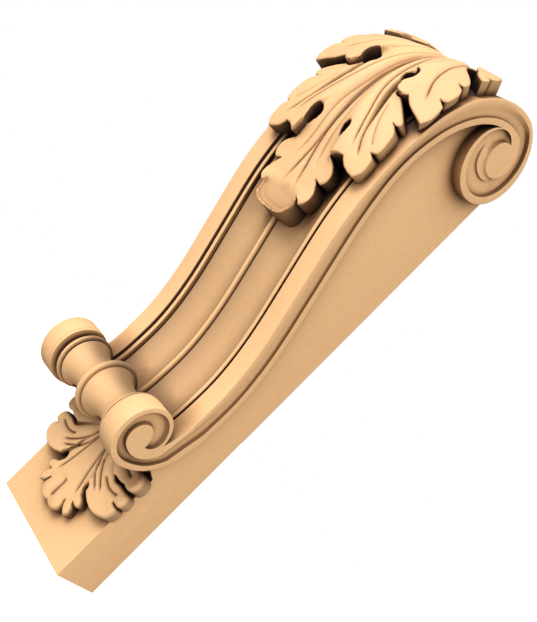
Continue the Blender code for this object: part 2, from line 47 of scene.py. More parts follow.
FRONT_LINE = [(0.65, 1.115), (0.60, 1.25), (0.583, 1.40), (0.579, 1.60), (0.611, 1.85), (0.6715, 2.085), (0.744, 2.30),
              (0.827, 2.535), (0.897, 2.735), (0.947, 2.895), (0.993, 3.1), (1.0205, 3.3), (1.029, 3.45),
              (1.02, 3.7), (0.985, 3.9), (0.95, 4.0), (0.90, 4.1), (0.83, 4.2), (0.73, 4.3), (0.57, 4.4),
              (0.35, 4.455), (0.15, 4.42), (0.035, 4.28), (0.0, 4.13), (0.03, 3.97)]
LARGE_SCROLL = (0.345, 4.10)
LARGE_EYE = (0.31, 4.12)
SMALL_SCROLL = (0.86, 1.08)


def spline(places, values, wanted):
    """Natural cubic spline of the values over the places, read at the wanted places."""
    t = np.asarray(places, float)
    v = np.asarray(values, float).reshape(len(t), -1)
    h = np.diff(t)
    system = np.eye(len(t))
    right = np.zeros_like(v)
    for i in range(1, len(t) - 1):
        system[i, i - 1:i + 2] = h[i - 1], 2 * (h[i - 1] + h[i]), h[i]
        right[i] = 6 * ((v[i + 1] - v[i]) / h[i] - (v[i] - v[i - 1]) / h[i - 1])
    bend = np.linalg.solve(system, right)
    wanted = np.asarray(wanted, float)
    i = np.clip(np.searchsorted(t, wanted) - 1, 0, len(t) - 2)
    before, after, step = (wanted - t[i])[:, None], (t[i + 1] - wanted)[:, None], h[i][:, None]
    return ((bend[i] * after ** 3 + bend[i + 1] * before ** 3) / (6 * step)
            + (v[i] / step - bend[i] * step / 6) * after + (v[i + 1] / step - bend[i + 1] * step / 6) * before)


def lengths(points):
    return np.r_[0, np.cumsum(np.linalg.norm(np.diff(np.asarray(points, float), axis=0), axis=1))]


def smooth_line(points, count):
    t = lengths(points)
    return spline(t, points, np.linspace(0, t[-1], count))


def winding(centre, shares, count, low=None, high=None):
    """Points round a centre: shares are (angle from the front towards the top, radius)."""
    angles = [a for a, _ in shares]
    at = np.linspace(angles[0] if low is None else low, angles[-1] if high is None else high, count)
    r = spline(angles, [radius for _, radius in shares], at)[:, 0]
    return np.stack([centre[0] + r * np.cos(np.radians(at)), centre[1] + r * np.sin(np.radians(at))], 1)


# s is nought at the second point
FRONT_PLACES = lengths(FRONT_LINE) - lengths(FRONT_LINE)[1]


def front(s):
    """Points (f, z) and outward normals of the front line."""
    s = np.asarray(s, float)
    step = 1e-3
    point = spline(FRONT_PLACES, FRONT_LINE, s)
    along = spline(FRONT_PLACES, FRONT_LINE, s + step) - spline(FRONT_PLACES, FRONT_LINE, s - step)
    along /= np.linalg.norm(along, axis=1)[:, None]
    return point, np.stack([along[:, 1], -along[:, 0]], 1)


def in_metres(x, f, z):
    return np.stack([np.asarray(x) * W, -np.asarray(f) * W, np.asarray(z) * W - MOUNT_HEIGHT], -1)


def on_front(x, s, h):
    """Places in metres of points that lie h above the front line."""
    point, normal = front(s)
    place = point + normal * np.asarray(h)[:, None]
    return in_metres(x, place[:, 0], place[:, 1])


# ---- modelling helpers


def deselect():
    if bpy.context.object and bpy.context.object.mode != "OBJECT":
        bpy.ops.object.mode_set(mode="OBJECT")
    bpy.ops.object.select_all(action="DESELECT")


def pick(obj):
    deselect()
    obj.select_set(True)
    bpy.context.view_layer.objects.active = obj
    return obj


def place_points(obj, points):
    obj.data.vertices.foreach_set("co", np.asarray(points, float).ravel())
    obj.data.update()


def corners(obj):
    points = np.zeros(len(obj.data.vertices) * 3)
    obj.data.vertices.foreach_get("co", points)
    return points.reshape(-1, 3)


def edit(obj, *steps):
    """Runs mesh operators in edit mode on the whole of obj."""
    pick(obj)
    bpy.ops.object.mode_set(mode="EDIT")
    bpy.ops.mesh.select_all(action="SELECT")
    for operator, words in steps:
        operator(**words)
    bpy.ops.object.mode_set(mode="OBJECT")
    return obj


def close_up(obj, near=1e-6):
    return edit(obj, (bpy.ops.mesh.remove_doubles, {"threshold": near}),
                (bpy.ops.mesh.normals_make_consistent, {"inside": False}))


def apply(obj, kind, **settings):
    pick(obj)
    modifier = obj.modifiers.new(kind.title(), kind)
    for name, value in settings.items():
        setattr(modifier, name, value)
    bpy.ops.object.modifier_apply(modifier=modifier.name)
    return obj


def cut(obj, tool, operation="DIFFERENCE"):
    apply(obj, "BOOLEAN", operation=operation, solver="EXACT", object=tool)
    bpy.data.objects.remove(tool)
    return obj


def sawn(name, outline, low, high, round_over=0.0):
    """A plate sawn to an outline (f, z), between two planes across x, with its edges rounded over."""
    deselect()
    curve = bpy.data.curves.new(name, "CURVE")
    curve.dimensions = "2D"
    curve.fill_mode = "BOTH"
    curve.extrude = (high - low) * W / 2 - round_over * W
    curve.bevel_depth = round_over * W
    curve.bevel_resolution = 2
    curve.offset = -round_over * W
    line = curve.splines.new("POLY")
    line.points.add(len(outline) - 1)
    for point, (f, z) in zip(line.points, outline):
        point.co = (-f * W, z * W - MOUNT_HEIGHT, 0, 1)
    line.use_cyclic_u = True
    obj = bpy.data.objects.new(name, curve)
    bpy.context.scene.collection.objects.link(obj)
    pick(obj)
    bpy.ops.object.convert(target="MESH")
    flat = corners(obj)
    place_points(obj, np.stack([flat[:, 2] + (low + high) * W / 2, flat[:, 0], flat[:, 1]], 1))
    return close_up(obj)


def drawn_through(name, rings, capped=True):
    """A bar drawn through sections of equal count: a grid laid to the sections, closed round and capped."""
    deselect()
    rings = np.asarray(rings, float)
    stations, count = rings.shape[:2]
    bpy.ops.mesh.primitive_grid_add(x_subdivisions=count, y_subdivisions=stations - 1, size=1)
    obj = bpy.context.object
    obj.name = name
    closed = np.concatenate([rings, rings[:, :1]], 1)
    place_points(obj, closed.reshape(-1, 3))
    close_up(obj)
    if capped:
        edit(obj, (bpy.ops.mesh.select_all, {"action": "DESELECT"}), (bpy.ops.mesh.select_non_manifold, {}),
             (bpy.ops.mesh.fill, {}), (bpy.ops.mesh.select_all, {"action": "SELECT"}),
             (bpy.ops.mesh.normals_make_consistent, {"inside": False}))
    return obj


def painted_shade(obj, values):
    """Writes painted shade at each corner of the mesh: how far the wood's colour is darkened to stand in for shade, one
    being untouched.
    """
    layer = obj.data.attributes.new("painted_shade", "FLOAT", "POINT")
    layer.data.foreach_set("value", np.asarray(values, float))


def smooth(obj, degrees=32):
    pick(obj)
    bpy.ops.object.shade_smooth_by_angle(angle=math.radians(degrees))
    return obj


# ---- scrolled cheeks

CHEEK_INNER = 0.433
CHEEK_OUTER = 0.588
EDGE = 0.004
LIP = 0.047
FRONT_LIP = 0.035

LARGE_RIM = [(90, 0.355), (180, 0.345), (270, 0.345), (348, 0.277), (393, 0.221)]
LARGE_OUTER = [(90, 0.301), (180, 0.252), (270, 0.310), (360, 0.268), (400, 0.205), (443, 0.121)]
LARGE_INNER = [(60, 0.240), (90, 0.204), (135, 0.172), (180, 0.155), (270, 0.135), (360, 0.122), (443, 0.120)]
LARGE_STEP = [(225, 0.152), (239, 0.169), (282, 0.190), (310, 0.203), (345, 0.190), (400, 0.175)]
SMALL_RIM = [(164, 0.446), (188, 0.3635), (211, 0.303), (232, 0.260), (270, 0.228), (315, 0.205), (360, 0.195),
             (415, 0.208), (479, 0.227), (530, 0.213)]
SMALL_INNER = [(180, 0.262), (215, 0.190), (250, 0.138), (270, 0.120), (300, 0.107), (360, 0.094), (450, 0.086),
               (540, 0.087), (566, 0.100)]


def band(s):
    """From the front line back to the lower lip."""
    return 0.132 - 0.043 * np.exp(-((s - 2.3) / 0.45) ** 2)


def cheek_outline():
    up = front(np.linspace(-0.10, 3.615, 170))[0]
    throat = winding(SMALL_SCROLL, SMALL_RIM, 2)[-1]
    up = up[np.r_[True, up[1:, 1] > throat[1]]][1:]
    large = winding(LARGE_SCROLL, LARGE_RIM, 120)
    s = np.linspace(3.33, 0.02, 150)
    point, normal = front(s)
    down = point - normal * (band(s) + LIP)[:, None]
    small = winding(SMALL_SCROLL, SMALL_RIM, 120)
    return np.concatenate([up, large, down, small])


def channel_edges(count):
    """Both edges of the spiral channel: beside the lower lip or eye, and beside the front lip or rim."""
    at = np.linspace(564, 184, count)
    rim = spline([a for a, _ in SMALL_RIM], [r for _, r in SMALL_RIM], np.minimum(at, 530))[:, 0]
    inner = spline([a for a, _ in SMALL_INNER], [r for _, r in SMALL_INNER], at)[:, 0]
    lip = 0.027 + (0.045 - 0.027) * np.clip((530 - at) / 300, 0, 1)
    ending = np.clip((at - 520) / 46, 0, 1) ** 2
    outer = np.maximum((rim - lip) * (1 - ending) + (inner + 0.003) * ending, inner + 0.003)
    way = np.stack([np.cos(np.radians(at)), np.sin(np.radians(at))], 1)
    s = np.linspace(0.10, 3.62, count)
    point, normal = front(s)
    lower = [np.array(SMALL_SCROLL) + way * outer[:, None], point - normal * band(s)[:, None],
             winding(LARGE_EYE, LARGE_INNER, count, 90, 441)]
    upper = [np.array(SMALL_SCROLL) + way * inner[:, None], point - normal * FRONT_LIP,
             winding(LARGE_EYE, LARGE_OUTER, count, 90, 441)]
    return np.concatenate(lower), np.concatenate(upper)


def channel_tool(side, count=130):
    """Cutter for one cheek's channel: a wall beside the lip, a flat floor and an eased slope up to the front."""
    lower, upper = channel_edges(count)
    n = len(lower)
    along = np.arange(n) / (n - 1)
    sweep = np.interp(along, [0.30, 0.36, 0.62, 0.68], [0, 1, 1, 0])
    coiled = np.interp(along, [0.66, 0.70], [0, 1])
    wall = np.interp(sweep, [0, 1], [0.10, 0.03])
    slope = np.interp(sweep, [0, 1], [0.10, 0.74]) * (1 - 0.6 * coiled)
    # in the large scroll the floor steps down again, from the crescent beside the eye
    turn = 90 + (441 - 90) * (along * 3 - 2)
    step = spline([a for a, _ in LARGE_STEP], [r for _, r in LARGE_STEP], np.clip(turn, 225, 400))[:, 0]
    inner = spline([a for a, _ in LARGE_INNER], [r for _, r in LARGE_INNER], np.clip(turn, 60, 443))[:, 0]
    outer = spline([a for a, _ in LARGE_OUTER], [r for _, r in LARGE_OUTER], np.clip(turn, 90, 443))[:, 0]
    share = np.clip((step - inner) / (outer - inner), 0.16, 0.8)
    shelf = np.where((turn > 225) & (turn < 400), share, np.interp(turn, [150, 225, 400, 430], [0.16, 0.16, 0.8, 0.8]))
    shelf = np.where(along > 2 / 3, shelf, 0.16)
    raised = np.interp(turn, [215, 240, 325, 362], [0, 1, 1, 0]) * (along > 2 / 3)
    rings = []
    for i in range(n):
        a, b = lower[i], upper[i]
        wide = np.linalg.norm(b - a)
        deep = 0.029 * min(1, wide / 0.05) * (1 - 0.36 * sweep[i])
        first = deep * (1 - 0.45 * raised[i])
        top = 1 - slope[i]
        across = [(0, -0.02), (0, 0), (wall[i] * 0.5, first * 0.75), (wall[i], first),
                  (shelf[i], first), (shelf[i] + 0.04, deep), (top, deep),
                  (top + slope[i] * 0.30, deep * 0.78), (top + slope[i] * 0.62, deep * 0.42), (1, 0), (1, -0.02)]
        rings.append([in_metres(side * (CHEEK_OUTER - d), *(a + (b - a) * t)) for t, d in across])
    return drawn_through("channel_tool", rings)


def make_cheek(side):
    low, high = sorted((side * CHEEK_INNER, side * CHEEK_OUTER))
    cheek = sawn("cheek", cheek_outline(), low, high, EDGE)
    return cut(cheek, channel_tool(side))


# ---- board, mouldings and roll

GROOVE = 0.0264
FILLET = 0.033
BEAD = 0.021
FLUTE_DEPTH = 0.045


def make_board():
    """The flat board, and the body behind the mouldings, as wide as the board."""
    point, normal = front(np.linspace(-0.05, 4.2, 150))
    behind = point - normal * 0.085
    behind = behind[behind[:, 1] > 1.0]
    low = [(0, 0), (BOARD_FRONT, 0), (BOARD_FRONT, 0.88), (0.55, 0.96)]
    return sawn("board", low + [tuple(p) for p in behind] + [(0, 4.10)], -0.5, 0.5, 0.0025)


def moulding_section():
    """Half section from the groove beside a cheek to the middle of the bead: (x, height over the front line)."""
    edge = CHEEK_INNER - GROOVE
    flute = edge - FILLET
    half = [(edge, -0.10), (edge, -0.012), (edge - 0.004, -0.008), (flute + 0.004, -0.008), (flute, -0.012),
            (flute - 0.002, -0.070), (flute - 0.014, -0.070), (flute - 0.017, -0.036)]
    for share in np.linspace(0, 1, 16):
        x = flute - 0.020 - (flute - 0.020 - BEAD - 0.012) * share
        half.append((x, -0.036 - FLUTE_DEPTH * math.sin(math.pi * share)))
    half += [(BEAD + 0.008, -0.056), (BEAD + 0.001, -0.056)]
    for angle in np.linspace(0, 90, 7):
        half.append((BEAD * math.cos(math.radians(angle)), -0.036 + BEAD * 1.3 * math.sin(math.radians(angle))))
    return half


def make_mouldings():
    half = moulding_section()
    section = np.array([(-x, h) for x, h in half] + half[-2::-1])
    rings = []
    for s in np.linspace(-0.10, 4.28, 165):
        rings.append(on_front(section[:, 0], np.full(len(section), s), section[:, 1]))
    mouldings = drawn_through("mouldings", rings)
    # painted shade: the wood's colour is darkened in the flutes, most of all beside the fillets and the bead, where
    # their shade falls
    out = np.abs(corners(mouldings)[:, 0]) / W
    flute = CHEEK_INNER - GROOVE - FILLET
    share = (out - BEAD - 0.010) / (flute - BEAD - 0.026)
    painted_shade(mouldings, np.where((share > 0) & (share < 1), 0.53 + 0.27 * np.sin(math.pi * np.clip(share, 0, 1)), 1.0))
    return mouldings


def make_drum(side):
    """The small scroll carried inwards past the cheek, to the roll."""
    rim = [(a, r - 0.003) for a, r in SMALL_RIM]
    low, high = sorted((side * 0.410, side * 0.560))
    return sawn("drum", winding(SMALL_SCROLL, rim, 110, 211, 528), low, high, EDGE)


ROLL_MIDDLE = (0.8125, 1.08)
ROLL_RADIUS = 0.226
RING_RADIUS = 0.208


def make_roll():
    """Half profile of the roll, spun about its own axis and mirrored: rings with hollow necks between."""
    half = [(0.0, ROLL_RADIUS), (0.008, ROLL_RADIUS), (0.016, ROLL_RADIUS - 0.004), (0.021, ROLL_RADIUS - 0.012),
            (0.0225, ROLL_RADIUS - 0.030), (0.0265, ROLL_RADIUS - 0.030)]
    for share in np.linspace(0.02, 0.98, 20):
        hollow = math.sin(math.pi * share) ** 0.75
        half.append((0.028 + 0.310 * share, ROLL_RADIUS - 0.023 - 0.010 * share - 0.054 * hollow))
    half += [(0.3400, RING_RADIUS - 0.034), (0.3460, RING_RADIUS - 0.034), (0.3480, RING_RADIUS - 0.013), (0.351, RING_RADIUS - 0.004), (0.357, RING_RADIUS),
             (0.370, RING_RADIUS), (0.376, RING_RADIUS - 0.004), (0.379, RING_RADIUS - 0.012),
             (0.380, ROLL_RADIUS - 0.060), (0.450, ROLL_RADIUS - 0.060)]
    profile = [(-x, r) for x, r in half[:0:-1]] + half
    rings = []
    for angle in np.radians(np.linspace(0, 360, 97)[:-1]):
        rings.append([in_metres(x, ROLL_MIDDLE[0] + r * math.cos(angle), ROLL_MIDDLE[1] + r * math.sin(angle))
                      for x, r in profile])
    sections = np.array(rings).transpose(1, 0, 2)
    roll = drawn_through("roll", sections)
    # painted shade: the wood's colour is darkened on the upper side, towards the flutes, and in the gaps beside the
    # drums, where shade falls
    at = corners(roll) / W
    lift = np.degrees(np.arctan2(at[:, 2] + MOUNT_HEIGHT / W - ROLL_MIDDLE[1], -at[:, 1] - ROLL_MIDDLE[0]))
    values = 0.95 - 0.60 * ease((lift - 5) / 65) * (lift < 170)
    painted_shade(roll, np.where(np.abs(at[:, 0]) > 0.3795, 0.35, values))
    return roll


# ---- acanthus leaves

# Half of the large leaf's edge, run by run between its corners, from the middle of the tip to the stem
LARGE_MARGIN = [
    [(0.0, 1.534), (0.085, 1.541), (0.148, 1.565), (0.182, 1.614), (0.190, 1.660), (0.178, 1.705)],
    # first lobe, two small leaflets
    [(0.178, 1.705), (0.212, 1.662)],
    [(0.212, 1.662), (0.244, 1.678), (0.268, 1.720), (0.262, 1.775), (0.205, 1.860)],
    [(0.205, 1.860), (0.262, 1.845)],
    [(0.262, 1.845), (0.290, 1.872), (0.300, 1.925), (0.272, 1.980), (0.205, 2.028)],
    # first eye
    [(0.205, 2.028), (0.194, 2.080), (0.186, 2.132)],
    [(0.186, 2.132), (0.140, 2.196), (0.128, 2.255), (0.165, 2.285), (0.202, 2.258), (0.208, 2.205), (0.192, 2.134)],
    [(0.192, 2.134), (0.200, 2.082), (0.212, 2.034)],
    # second lobe
    [(0.212, 2.034), (0.270, 2.062), (0.330, 2.068)],
    [(0.330, 2.068), (0.372, 2.022), (0.425, 1.998), (0.486, 1.986)],
    [(0.486, 1.986), (0.524, 2.030), (0.532, 2.085), (0.524, 2.140)],
    [(0.524, 2.140), (0.484, 2.172)],
    [(0.484, 2.172), (0.520, 2.184), (0.530, 2.270), (0.502, 2.360), (0.445, 2.405)],
    [(0.445, 2.405), (0.488, 2.406), (0.498, 2.428), (0.470, 2.465), (0.424, 2.504), (0.370, 2.545), (0.325, 2.578)],
    # second eye
    [(0.325, 2.578), (0.268, 2.590), (0.248, 2.625), (0.236, 2.660)],
    [(0.236, 2.660), (0.180, 2.698), (0.155, 2.752), (0.202, 2.795), (0.256, 2.782), (0.276, 2.725), (0.246, 2.664)],
    [(0.246, 2.664), (0.255, 2.630), (0.274, 2.597), (0.335, 2.586)],
    # third lobe
    [(0.335, 2.586), (0.376, 2.602)],
    [(0.376, 2.602), (0.435, 2.556), (0.510, 2.522), (0.604, 2.486)],
    [(0.604, 2.486), (0.632, 2.530), (0.636, 2.590), (0.620, 2.655)],
    [(0.620, 2.655), (0.558, 2.690)],
    [(0.558, 2.690), (0.602, 2.702), (0.612, 2.750), (0.596, 2.810), (0.568, 2.842)],
    [(0.568, 2.842), (0.508, 2.870)],
    [(0.508, 2.870), (0.545, 2.880), (0.548, 2.908), (0.510, 2.958), (0.450, 3.002), (0.385, 3.040)],
    # third eye, and the fourth lobe as a small block
    [(0.385, 3.040), (0.315, 3.095), (0.255, 3.165), (0.230, 3.235), (0.247, 3.272), (0.276, 3.250), (0.312, 3.185),
     (0.395, 3.115)],
    [(0.395, 3.115), (0.460, 3.055), (0.555, 3.010)],
    [(0.555, 3.010), (0.566, 3.040), (0.556, 3.076)],
    [(0.556, 3.076), (0.505, 3.082)],
    [(0.505, 3.082), (0.552, 3.100), (0.548, 3.170), (0.500, 3.235)],
    [(0.500, 3.235), (0.410, 3.290), (0.340, 3.380)],
    [(0.340, 3.380), (0.260, 3.510), (0.120, 3.620), (0.0, 3.640)],
]
# Where one lobe lies over the one below it, from outside the margin through the eye and up to the stem
LARGE_LAPS = [
    [(0.70, 1.80), (0.45, 1.95), (0.345, 2.012), (0.270, 2.030), (0.209, 2.031), (0.197, 2.081), (0.189, 2.133),
     (0.168, 2.220), (0.165, 2.285), (0.130, 2.500), (0.100, 2.800), (0.060, 3.100)],
    [(0.75, 2.38), (0.60, 2.45), (0.50, 2.49), (0.430, 2.535), (0.360, 2.575), (0.330, 2.582), (0.271, 2.594),
     (0.252, 2.627), (0.241, 2.662), (0.212, 2.730), (0.202, 2.795), (0.170, 2.950), (0.120, 3.150), (0.060, 3.400)],
    [(0.75, 2.93), (0.60, 2.96), (0.50, 3.000), (0.420, 3.062), (0.345, 3.118), (0.283, 3.180), (0.250, 3.272),
     (0.190, 3.360), (0.100, 3.450)],
]
LARGE_EYE_TOPS = [(0.165, 2.285), (0.202, 2.795), (0.250, 3.272)]
# Height of the middle of the leaf, and of the ridges that rise from the eyes: (s, x across, height)
LARGE_MIDDLE = [(1.54, 0.052), (1.75, 0.052), (1.90, 0.055), (2.00, 0.060), (2.10, 0.072), (2.22, 0.092), (2.42, 0.106),
                (2.67, 0.114), (2.82, 0.110), (3.07, 0.102), (3.25, 0.098), (3.45, 0.068), (3.66, 0.0)]
LARGE_RIDGES = [
    [(2.00, 0.200, 0.140), (2.28, 0.165, 0.156), (2.65, 0.115, 0.150), (2.90, 0.085, 0.138), (3.20, 0.055, 0.122),
     (3.66, 0.020, 0.0)],
    [(2.45, 0.260, 0.170), (2.79, 0.207, 0.184), (2.95, 0.170, 0.176), (3.15, 0.120, 0.150), (3.40, 0.080, 0.100),
     (3.66, 0.040, 0.0)],
    [(2.95, 0.300, 0.140), (3.20, 0.260, 0.140), (3.40, 0.200, 0.100), (3.66, 0.060, 0.0)],
]
LARGE_FALLS = (0.15, 0.19, 0.08)
# Carved creases on one half of the large leaf
LARGE_CREASES = [
    [(0.080, 1.69), (0.056, 1.79), (0.040, 1.89), (0.020, 2.00), (0.010, 2.09), (0.008, 2.40), (0.008, 2.80), (0.008, 3.36)],
    [(0.150, 1.890), (0.108, 1.980), (0.088, 2.080), (0.080, 2.180), (0.076, 2.274), (0.064, 2.400), (0.040, 2.560),
     (0.030, 2.800), (0.024, 3.100)],
    [(0.350, 2.107), (0.319, 2.177), (0.276, 2.283), (0.218, 2.422), (0.166, 2.544), (0.132, 2.680), (0.105, 2.860),
     (0.065, 3.050), (0.036, 3.330)],
    [(0.436, 2.090), (0.362, 2.195), (0.310, 2.313), (0.256, 2.462), (0.222, 2.570), (0.210, 2.660), (0.196, 2.725)],
    [(0.470, 2.190), (0.415, 2.260), (0.365, 2.340), (0.320, 2.430), (0.290, 2.520)],
    [(0.510, 2.605), (0.458, 2.679), (0.396, 2.772), (0.353, 2.865), (0.318, 2.960), (0.270, 3.087), (0.200, 3.230),
     (0.110, 3.360)],
    [(0.202, 2.810), (0.190, 2.900), (0.150, 3.060), (0.090, 3.300)],
]
LARGE_CREASE_DEPTHS = (0.017, 0.009, 0.014, 0.014, 0.008, 0.014, 0.009)

# Half of the small leaf's edge on the board's front: (x, z)
SMALL_MARGIN = [
    # middle lobe: two bulbs, then two small leaflets
    [(0.0, 0.224), (0.030, 0.213), (0.080, 0.212), (0.125, 0.240), (0.142, 0.290), (0.128, 0.335)],
    [(0.128, 0.335), (0.150, 0.295), (0.205, 0.258)],
    [(0.205, 0.258), (0.228, 0.285), (0.225, 0.330), (0.196, 0.368)],
    [(0.196, 0.368), (0.235, 0.362), (0.262, 0.385), (0.255, 0.420), (0.205, 0.448)],
    # first eye
    [(0.205, 0.448), (0.178, 0.480), (0.170, 0.515), (0.190, 0.538), (0.214, 0.518), (0.224, 0.490)],
    # broad lobe
    [(0.224, 0.490), (0.285, 0.462), (0.360, 0.446), (0.430, 0.452), (0.500, 0.488)],
    [(0.500, 0.488), (0.520, 0.530), (0.516, 0.580), (0.470, 0.600)],
    [(0.470, 0.600), (0.522, 0.606), (0.535, 0.650), (0.510, 0.695), (0.440, 0.708)],
    # second eye
    [(0.440, 0.708), (0.385, 0.705), (0.330, 0.702), (0.320, 0.712), (0.380, 0.722), (0.440, 0.734)],
    # upper lobe
    [(0.440, 0.734), (0.515, 0.735), (0.540, 0.790), (0.510, 0.850), (0.440, 0.880)],
    [(0.440, 0.880), (0.470, 0.915), (0.400, 0.965), (0.300, 0.980), (0.150, 0.990), (0.0, 1.000)],
]


def margin(runs, spacing):
    """The half edge as one line of points: a smooth curve through each run, with corners between the runs."""
    points = []
    for run in runs:
        count = max(2, math.ceil(lengths(run)[-1] / spacing) + 1)
        points += [tuple(p) for p in smooth_line(run, count)[:-1]]
    return points + [runs[-1][-1]]


def resampled(points, spacing):
    """The line with points no further apart than spacing."""
    out = []
    for a, b in zip(points, points[1:]):
        a, b = np.array(a), np.array(b)
        n = max(1, math.ceil(np.linalg.norm(b - a) / spacing))
        out += [tuple(a + (b - a) * i / n) for i in range(n)]
    return out + [tuple(points[-1])]


def distance(x, s, line, signed=False):
    """Distance to a drawn line; signed is positive on its right hand, and the share along the line comes too."""
    best = np.full(x.shape, 1e9)
    side = np.zeros(x.shape)
    share = np.zeros(x.shape)
    places = lengths(line)
    for i in range(len(line) - 1):
        (ax, ay), (bx, by) = line[i], line[i + 1]
        ux, uy = bx - ax, by - ay
        t = np.clip(((x - ax) * ux + (s - ay) * uy) / (ux * ux + uy * uy + 1e-12), 0, 1)
        d = np.hypot(x - ax - t * ux, s - ay - t * uy)
        near = d < best
        best = np.where(near, d, best)
        if signed:
            side = np.where(near, np.sign(ux * (s - ay) - uy * (x - ax)), side)
            share = np.where(near, (places[i] + t * (places[i + 1] - places[i])) / places[-1], share)
    return (best * -side, share) if signed else best


def leaf_blank(name, outline, creases, spacing):
    """The leaf's flat outline filled with fine triangles whose edges run along the creases."""
    rim = outline
    lines = [resampled([tuple(p) for p in smooth_line(crease, 30)], spacing) for crease in creases]
    low, high = np.min(outline, 0), np.max(outline, 0)
    columns = np.arange(low[0], high[0], spacing)
    rows = np.arange(low[1], high[1], spacing * math.sqrt(0.75))
    gx, gs = np.meshgrid(columns, rows)
    gx = gx + (np.arange(len(rows)) % 2)[:, None] * spacing / 2
    gx, gs = gx.ravel(), gs.ravel()
    keep = distance(gx, gs, rim + [rim[0]]) > 0.55 * spacing
    for line in lines:
        keep &= distance(gx, gs, line) > 0.5 * spacing
    points = [Vector(p) for p in rim]
    edges = [(i, (i + 1) % len(rim)) for i in range(len(rim))]
    for line in lines:
        edges += [(len(points) + i, len(points) + i + 1) for i in range(len(line) - 1)]
        points += [Vector(p) for p in line]
    points += [Vector(p) for p in zip(gx[keep], gs[keep])]
    flat, _, faces = delaunay_2d_cdt(points, edges, [list(range(len(rim)))], 2, 1e-6)[:3]
    mesh = bpy.data.meshes.new(name)
    mesh.from_pydata([(p.x, p.y, 0) for p in flat], [], faces)
    obj = bpy.data.objects.new(name, mesh)
    bpy.context.scene.collection.objects.link(obj)
    return obj


def deepen(obj, walls):
    """Draws the flat leaf down into a block: walls rings of faces round it, and a floor."""
    edit(obj, (bpy.ops.mesh.normals_make_consistent, {"inside": False}))
    pick(obj)
    bpy.ops.object.mode_set(mode="EDIT")
    bpy.ops.mesh.select_all(action="DESELECT")
    bpy.ops.mesh.select_non_manifold()
    for _ in range(walls):
        bpy.ops.mesh.extrude_edges_move(TRANSFORM_OT_translate={"value": (0, 0, -1)})
    bpy.ops.mesh.fill()
    bpy.ops.mesh.select_all(action="SELECT")
    bpy.ops.mesh.normals_make_consistent(inside=False)
    bpy.ops.object.mode_set(mode="OBJECT")
    return obj


def creased(x, s, creases, depths, width):
    """Sharp valleys along the creases, which run out at both ends, inside wider soft ones."""
    cut_in = np.zeros(x.shape)
    for line, depth in zip(creases, depths):
        drawn = [tuple(p) for p in smooth_line(line, 24)]
        d, share = distance(x, s, drawn, signed=True)
        fade = np.clip(share / 0.12, 0, 1) * np.clip((1 - share) / 0.10, 0, 1)
        valley = depth * (np.exp(-np.abs(d) / width) + 0.45 * np.exp(-(d / 0.032) ** 2))
        cut_in = np.maximum(cut_in, valley * fade)
    return -cut_in


def read(shares, s, column):
    """One column of a named list of places, read at s and eased between the places."""
    places = np.array(shares)
    fine = np.linspace(places[0, 0], places[-1, 0], 200)
    values = np.interp(fine, places[:, 0], places[:, column])
    blur = np.ones(15) / 15
    values = np.convolve(np.pad(values, 7, mode="edge"), blur, mode="valid")
    return np.interp(s, fine, values)


def ease(t):
    t = np.clip(t, 0, 1)
    return t * t * (3 - 2 * t)


def large_height(x, s):
    """Height of the large leaf's carved face over the front line: each lobe falls from the ridge over its eye."""
    out = np.abs(x)
    low = read(LARGE_MIDDLE, s, 1)
    first_x, first_h = read(LARGE_RIDGES[0], s, 1), read(LARGE_RIDGES[0], s, 2)
    opened = ease((s - 2.05) / 0.45)
    layers = [low + (first_h - low) * opened * ease(out / first_x) - 0.05 * np.clip(out - first_x, 0, 0.3) * opened]
    inside = low
    inside_x = np.zeros(s.shape)
    for ridge, fall in zip(LARGE_RIDGES, LARGE_FALLS):
        ridge_x, ridge_h = read(ridge, s, 1), read(ridge, s, 2)
        within = inside + (ridge_h - inside) * ease((out - inside_x) / np.maximum(ridge_x - inside_x, 0.03))
        layers.append(within - fall * np.clip(out - ridge_x, 0, None))
        inside, inside_x = ridge_h, ridge_x
    h = layers[0]
    for line, top, layer, soft_below in zip(LARGE_LAPS, LARGE_EYE_TOPS, layers[1:], (np.where(x > 0, 0.014, 0.0015), 0.0015, 0.0015)):
        d, share = distance(out, s, line, signed=True)
        places = lengths(line)
        at_eye = places[line.index(top)] / places[-1]
        soft = soft_below + 0.05 * ease((share - at_eye + 0.02) / 0.25)
        over = 1 / (1 + np.exp(-np.clip(d / soft, -30, 30)))
        h = h * (1 - over) + layer * over
    return h


def round_edge(h, d, radius):
    """Height with its top edge rounded over towards the outline, d away."""
    t = np.clip(d / radius, 0, 1)
    return h - radius * 0.8 * (1 - np.sqrt(1 - (1 - t) ** 2))


